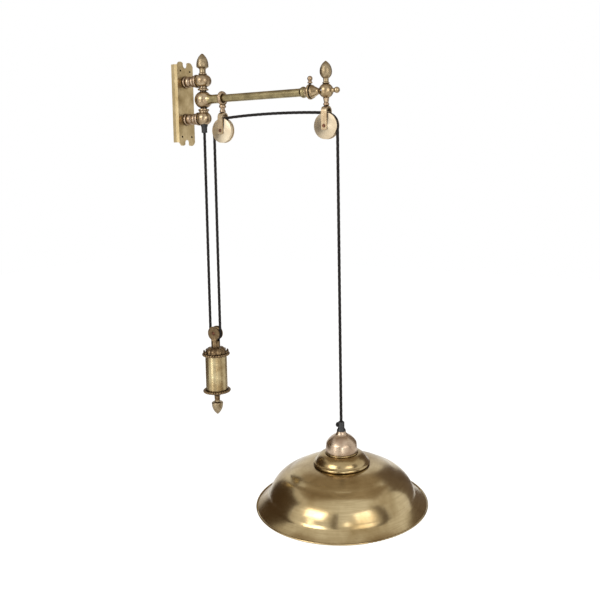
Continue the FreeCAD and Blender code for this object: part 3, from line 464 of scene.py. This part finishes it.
# ---- Finials -------------------------------------------------------------------------------------
# Small solid castings: an acorn on the post, a bud on the arm's end and an upside-down acorn under
# the weight. Their skins are chased with rows of fine scales, painted dark between them both as old
# polish and as painted shade.
def profile(points, step):
    """The points of an outline: two numbers end a straight line, four hold an arc's middle and end."""
    line = [Vector((points[0][0], points[0][1]))]
    for point in points[1:]:
        start = line[-1].copy()
        end = Vector(point[-2:])
        if len(point) == 2:
            count = max(1, round((end - start).length / step))
            line += [start.lerp(end, i / count) for i in range(1, count + 1)]
            continue
        middle = Vector(point[:2])
        ax, ay, bx, by = middle.x - start.x, middle.y - start.y, end.x - start.x, end.y - start.y
        twice = 2 * (ax * by - ay * bx)
        centre = start + Vector(((by * (ax * ax + ay * ay) - ay * (bx * bx + by * by)) / twice,
                                 (ax * (bx * bx + by * by) - bx * (ax * ax + ay * ay)) / twice))
        radius = (start - centre).length
        first = math.atan2(start.y - centre.y, start.x - centre.x)
        swept = (math.atan2(end.y - centre.y, end.x - centre.x) - first) % (2 * math.pi)
        passed = (math.atan2(middle.y - centre.y, middle.x - centre.x) - first) % (2 * math.pi)
        if passed > swept:
            swept -= 2 * math.pi
        count = max(3, round(abs(swept) * radius / step))
        for i in range(1, count + 1):
            angle = first + swept * i / count
            line.append(centre + Vector((math.cos(angle), math.sin(angle))) * radius)
    return line


def turned_mesh(name, outlines, x, height, sides, step, shaping=None, sharp=40):
    """A mesh turned about an upright line through x, from closed outlines of (radius, height) in mm.
    Shaping gets an angle, a radius and a height, and gives how far that point moves outward."""
    bm = bmesh.new()
    for points in outlines:
        line = profile(points, step)
        verts = [bm.verts.new((x + p.x, 0, height + p.y)) for p in line]
        edges = [bm.edges.new(pair) for pair in zip(verts, verts[1:])]
        if line[0].x > 0.01:
            edges.append(bm.edges.new((verts[-1], verts[0])))
        bmesh.ops.spin(bm, geom=verts + edges, cent=(x, 0, 0), axis=(0, 0, 1), dvec=(0, 0, 0),
                       angle=2 * math.pi, steps=sides, use_merge=True, use_duplicate=False)
    bmesh.ops.remove_doubles(bm, verts=bm.verts, dist=0.003)
    bmesh.ops.recalc_face_normals(bm, faces=bm.faces)
    bm.normal_update()
    if shaping:
        moves = []
        for v in bm.verts:
            radius = math.hypot(v.co.x - x, v.co.y)
            moves.append(v.normal * shaping(math.atan2(v.co.y, v.co.x - x), radius, v.co.z - height))
        for v, move in zip(bm.verts, moves):
            v.co += move
    bmesh.ops.scale(bm, vec=(mm, mm, mm), verts=bm.verts)
    mesh = bpy.data.meshes.new(name)
    bm.to_mesh(mesh)
    mesh.shade_smooth()
    mesh.set_sharp_from_angle(angle=math.radians(sharp))
    return mesh


def scales(count, row, depth, low, high):
    """Rows of diamond scales, with so many round the piece, between two heights."""
    def shaping(angle, radius, height):
        if not low < height < high:
            return 0.0
        fade = min(1.0, (height - low) / row, (high - height) / row)
        slant = math.pi * height / row
        crown = abs(math.sin(count * angle / 2 + slant) * math.sin(count * angle / 2 - slant))
        return fade * depth * (math.sqrt(crown) - 0.45)
    return shaping


# cast and chased brass: greyer and duller, its grain a mm or so wide
finial_brass = brass("chased_finial_brass", "ad9b7c", "7f6f55", "231a0f", 0.36, 1.2, 8, brushed="Z",
                     polish_and_shade_reach=1.6, relief=0.1)
acorn = turned_mesh("acorn", [[
    (0, 58.0), (6.9, 58.0), (6.7, 64.5), (8.1, 66.7), (10.2, 68.1), (12.6, 69.7, 12.8, 72.5),
    (10.3, 86.1, 2.6, 97.3), (0, 98.5)]], post_x, arm_height, 168, 0.5, scales(22, 4.4, 0.45, 71.5, 96.0))
show("acorn", acorn, finial_brass, "wall_bracket", ("post_finial",))
bud = turned_mesh("bud", [[
    (0, 13.7), (6.3, 13.7), (7.3, 15.0, 6.3, 16.3), (5.3, 17.1), (5.5, 23.7), (10.4, 29.5, 12.0, 38.0),
    (8.4, 49.5, 0.5, 57.4), (0, 57.7)]], end_x, arm_height, 168, 0.5, scales(30, 3.2, 0.26, 27.0, 54.5))
show("bud", bud, finial_brass, "arm", ("end_finial",))
weight_tip = arm_height - 667.15   # where the weight's finial starts
lower_acorn = turned_mesh("lower_acorn", [[
    (0, 0), (5.9, 0), (6.5, -3.0), (11.0, -4.2), (12.5, -6.0, 12.4, -8.5), (8.9, -22.4, 1.5, -32.0),
    (0, -33.0)]], weight_x, weight_tip, 150, 0.5, scales(18, 4.6, 0.45, -31.0, -6.0))
show("lower_acorn", lower_acorn, finial_brass, "weight", ("weight_finial",))

# ---- Pulleys, forks and axles --------------------------------------------------------------------
# Two flat-sided wheels turned from pale brass, each in a strap bent over it and riveted to its
# hanger, on a bronze pin.
# brass strip, bent cold: satin, with upright grain
fork_brass = brass("bent_strap_brass", "c4b090", "9c8668", "2c1d12", 0.32, 0.7, 12, brushed="Z")
# bronze rivets: small, brown and dark
rivet_bronze = brass("rivet_bronze", "7d5542", "5c3c2d", "1e110b", 0.33, 0.5, 4, brushed="Z")
# faced brass: pale and even, nearly matt, with rings from the lathe round each pulley's middle
for name, x in (("inner_sheave", inner_x), ("outer_sheave", end_x)):
    dressed(name, brass("faced_" + name, "e0d2b8", "cdbb9e", "4b3726", 0.5, 0.9, 45,
                        turned=((x, 0, pulley_z), "Y"), line_share=0.35))
for name in ("inner_fork", "outer_fork"):
    dressed(name, fork_brass, 0.4)
for name in ("pulley_axles", "weight_axle"):
    dressed(name, rivet_bronze)

# ---- Balance weight ------------------------------------------------------------------------------
# A brass can filled with an iron slug. A cast cap with leaves round it, a fork and a wheel tops it.
# Beaded rims run round both ends, the upper one with a row of turned-up leaf tips.
# cast brass: brown, its hollows between leaves and beads painted black, both as old polish and as painted
# shade
weight_cast = brass("cast_weight_brass", "907a5a", "604c36", "120b07", 0.34, 1.0, 7, brushed="Z",
                    polish_and_shade_reach=3.5, relief=0.1)
# drawn and brushed brass: bright gold streaks from top to bottom, 2 or 3 mm wide
weight_can = brass("brushed_can_brass", "cdbf96", "96805a", "50341e", 0.27, 2.6, 36, brushed="Z",
                   line_share=0.75)
cap_foot, shell_foot, neck_foot = (arm_height - h for h in (563.15, 643.15, 545.15))


def leaves(angle, radius, height):
    """Eight broad leaves lie round the cap, each with a rib down its middle."""
    inner, outer, foot = 11.0, 24.0, 5.2
    if not inner < radius < outer or height < foot:
        return 0.0
    fade = min(1.0, (radius - inner) / 4, (outer - radius) / 2)
    across = abs(math.sin(4 * angle))
    return fade * (1.5 * math.sqrt(across) - 0.9 + 0.5 * max(0.0, across - 0.9) * 10)


cap = turned_mesh("leafed_cap", [[
    (0, neck_foot - cap_foot), (10.6, neck_foot - cap_foot), (18.2, 14.4, 22.5, 7.2), (24.6, 5.0),
    (24.9, 4.0), (24.9, 0), (22.8, 0), (22.8, -4), (0, -4)]], weight_x, cap_foot, 160, 0.6, leaves)
show("leafed_cap", cap, weight_cast, "weight", ("weight_cap",))
bead_count, bead_depth = 30, 1.5
bead_root = 25.2                   # the beads stand out from this radius


def beads(angle, radius, height):
    """The rims are rows of beads, cut in between."""
    gap = 1 - abs(math.cos(bead_count * angle / 2))
    return -bead_depth * gap ** 1.5 if radius > bead_root else 0.0


ring = [(24.6, -2.2), (25.6, -2.6, 27.6, -3.1), (30.7, 0, 27.6, 3.1), (25.6, 2.6, 24.6, 2.2)]
upper_middle, lower_middle = 2.0, shell_foot - 1.5 - cap_foot     # the rims' heights from the cap's foot
upper_ring, lower_ring = ([tuple(v + middle * (i % 2) for i, v in enumerate(p)) for p in ring]
                          for middle in (upper_middle, lower_middle))
rims = turned_mesh("beaded_rims", [upper_ring, lower_ring], weight_x, cap_foot, 300, 0.6, beads)
show("beaded_rims", rims, weight_cast, "weight", ("weight_rims",))
tip_count = 15
tip_radius, tip_middle = 26.6, 7.2               # each tip's place, from the weight's axis and the cap's foot
tip_thick, tip_wide, tip_tall = 1.3, 4.4, 3.6    # half its thickness, width and height
bm = bmesh.new()
for i in range(tip_count):
    turn = (Matrix.Translation((weight_x, 0, cap_foot))
            @ Matrix.Rotation(2 * math.pi * (i + 0.5) / tip_count, 4, "Z"))
    tip = bmesh.ops.create_uvsphere(bm, u_segments=16, v_segments=10, radius=1.0)["verts"]
    for v in tip:
        lift = (v.co.z + 1) / 2
        curl = 1.4 * lift ** 2
        v.co = turn @ Vector((tip_radius + curl + tip_thick * v.co.x,
                              tip_wide * (1.1 - 0.45 * lift) * v.co.y, tip_middle + tip_tall * v.co.z))
bmesh.ops.scale(bm, vec=(mm, mm, mm), verts=bm.verts)
tips = bpy.data.meshes.new("leaf_tips")
bm.to_mesh(tips)
tips.shade_smooth()
show("leaf_tips", tips, weight_cast, "weight")
for name in ("weight_fork", "weight_base"):
    dressed(name, weight_cast)
dressed("weight_shell", weight_can)
dressed("weight_sheave", brass("small_wheel_brass", "a8906a", "7c6546", "1e140c", 0.3, 0.7, 12,
                               turned=((weight_x, 0, wheel_z), "Y")))

# ---- Clamps and lampholder -----------------------------------------------------------------------
# Moulded black plastic: the two clamps that grip the flex, the lamp's clamp screw, and the
# lampholder with the ring that holds the shade to it.
# moulded plastic: near black with a soft sheen, its mould finish drawn 0.7 mm wide
plastic = mottled("moulded_black_plastic", ("131212", "1e1d1d"), 1500.0, 2.0, 0.45, ior=1.5,
                  relief=(0.3, 0.0001))
for name in ("post_cord_grip", "lamp_cord_grip", "lamp_grip_screw", "lampholder", "shade_ring"):
    dressed(name, plastic)

# ---- Lamp cap, collar and shade ------------------------------------------------------------------
# Brass sheet spun on a lathe: a pale satin cap over the lampholder, a stepped collar, and a wide
# dome with a flared, rolled rim, polished and then toned to an olive gold.
# spun brass, satin: pinkish and pale, with rings from the spinning tool
cap_satin = brass("spun_cap_brass", "cdb9a0", "a48c76", "33241c", 0.3, 0.8, 16, turned=((drop_x, 0, 0), "Z"))
# spun brass, polished: broad soft reflections over faint rings and large cloudy patches, with painted shade
# where the collar sits on it
shade_gold = brass("spun_shade_brass", "c2af86", "957e56", "5c4a30", 0.21, 1.6, 75,
                   turned=((drop_x, 0, 0), "Z"), polish_and_shade_reach=3.0, line_share=0.35, relief=0.03)
dressed("lamp_cap", cap_satin)
for name in ("cap_ring", "shade_collar", "shade"):
    dressed(name, shade_gold)

# ---- Studio --------------------------------------------------------------------------------------
# A plain pale floor well below the light in a white room, a broad soft lamp from the left, a weaker
# one from the right and two tall strips. Brown boards off to the sides show only in the metal.
def seen_directly(tree):
    """One for rays from the camera, a mirror or a glass, and nothing for the rest."""
    seen = add(tree, "ShaderNodeLightPath")
    direct = add(tree, "ShaderNodeMath", {0: seen.outputs["Is Camera Ray"], 1: seen.outputs["Is Glossy Ray"]},
                 operation="MAXIMUM")
    direct = add(tree, "ShaderNodeMath", {0: direct.outputs[0], 1: seen.outputs["Is Transmission Ray"]},
                 operation="MAXIMUM")
    return direct.outputs[0]


floor_height = -1.75
bm = bmesh.new()
bmesh.ops.create_grid(bm, x_segments=1, y_segments=1, size=9.0,
                      matrix=Matrix.Translation((0, 0, floor_height)))
floor_mesh = bpy.data.meshes.new("floor")
bm.to_mesh(floor_mesh)
floor = bpy.data.objects.new("floor", floor_mesh)
bpy.context.scene.collection.objects.link(floor)
paper = bpy.data.materials.new("white_paper")
paper.use_nodes = True
tree = paper.node_tree
tree.nodes.clear()
matt = add(tree, "ShaderNodeBsdfDiffuse", {"Color": linear("c8c8c6")})
glow = add(tree, "ShaderNodeEmission", {"Color": (1, 1, 1, 1), "Strength": 0.78})
none = add(tree, "ShaderNodeEmission", {"Strength": 0.0})
lifted = add(tree, "ShaderNodeMixShader", {0: seen_directly(tree), 1: none.outputs[0], 2: glow.outputs[0]})
both = add(tree, "ShaderNodeAddShader", {0: matt.outputs[0], 1: lifted.outputs[0]})
add(tree, "ShaderNodeOutputMaterial", {"Surface": both.outputs[0]})
floor_mesh.materials.append(paper)

world = bpy.data.worlds.new("white_room")
bpy.context.scene.world = world
world.use_nodes = True
tree = world.node_tree
tree.nodes.clear()
room = add(tree, "ShaderNodeBackground", {"Color": linear("ffffff"), "Strength": 0.5})
backdrop = add(tree, "ShaderNodeBackground", {"Color": linear("ffffff"), "Strength": 1.0})
both = add(tree, "ShaderNodeMixShader", {0: seen_directly(tree), 1: room.outputs[0], 2: backdrop.outputs[0]})
add(tree, "ShaderNodeOutputWorld", {"Surface": both.outputs[0]})

target = Vector((0.25, 0, -0.4))   # the middle of the light, which lamps and boards face
camera_angle = math.atan2(camera_place.y - target.y, camera_place.x - target.x)
board_parts = 8


def board(name, from_left, to_left, low, high, colour, distance=3.4):
    """A curved upright board round the light, between two angles to the left of the camera."""
    bm = bmesh.new()
    rows = []
    for i in range(board_parts + 1):
        angle = camera_angle - math.radians(from_left + (to_left - from_left) * i / board_parts)
        foot = target + Vector((math.cos(angle), math.sin(angle), 0)) * distance
        rows.append([bm.verts.new((foot.x, foot.y, z)) for z in (low, high)])
    for a, b in zip(rows, rows[1:]):
        bm.faces.new((a[0], b[0], b[1], a[1]))
    place_board(name, bm, colour)


def place_board(name, bm, colour):
    """Hangs up a board that only reflections show, painted in an even colour."""
    mesh = bpy.data.meshes.new(name)
    bm.to_mesh(mesh)
    paint = bpy.data.materials.new(name + "_paint")
    paint.use_nodes = True
    tree = paint.node_tree
    tree.nodes.clear()
    tone = add(tree, "ShaderNodeEmission", {"Color": linear(colour), "Strength": 1.0})
    add(tree, "ShaderNodeOutputMaterial", {"Surface": tone.outputs[0]})
    mesh.materials.append(paint)
    piece = bpy.data.objects.new(name, mesh)
    bpy.context.scene.collection.objects.link(piece)
    piece.visible_camera = piece.visible_diffuse = piece.visible_shadow = False


board("left_board", 86, 152, -1.74, 2.2, "5a4936")
board("left_front_board", 10, 20, -1.2, 2.4, "6a5a46")
board("right_front_board", -66, -52, -1.2, 2.4, "5a4836")
board("right_board", -152, -112, -1.74, 2.2, "807266")
bm = bmesh.new()
beyond = (Matrix.Translation((0.4, 0, 2.3)) @ Matrix.Rotation(camera_turn, 4, "Z")
          @ Matrix.Translation((0, 2.1, 0)))
bmesh.ops.create_grid(bm, x_segments=1, y_segments=1, size=2.2, matrix=beyond)
place_board("ceiling_board", bm, "b9ab98")

for name, place, width, height, power in (("key", (-0.3, -2.6, 0.9), 1.5, 1.3, 34),
                                          ("fill", (2.5, -1.0, 0.3), 1.1, 1.5, 15),
                                          ("strip_left", (-0.2, -2.1, -0.7), 0.3, 1.2, 4.5),
                                          ("strip_right", (1.75, -1.75, -0.7), 0.22, 1.2, 3.5)):
    data = bpy.data.lights.new(name, "AREA")
    data.shape = "RECTANGLE"
    data.size, data.size_y = width, height
    data.energy = power
    lamp = bpy.data.objects.new(name, data)
    lamp.location = place
    lamp.rotation_euler = (target - lamp.location).to_track_quat("-Z", "Y").to_euler()
    bpy.context.scene.collection.objects.link(lamp)
bpy.context.scene.view_settings.view_transform = "Standard"
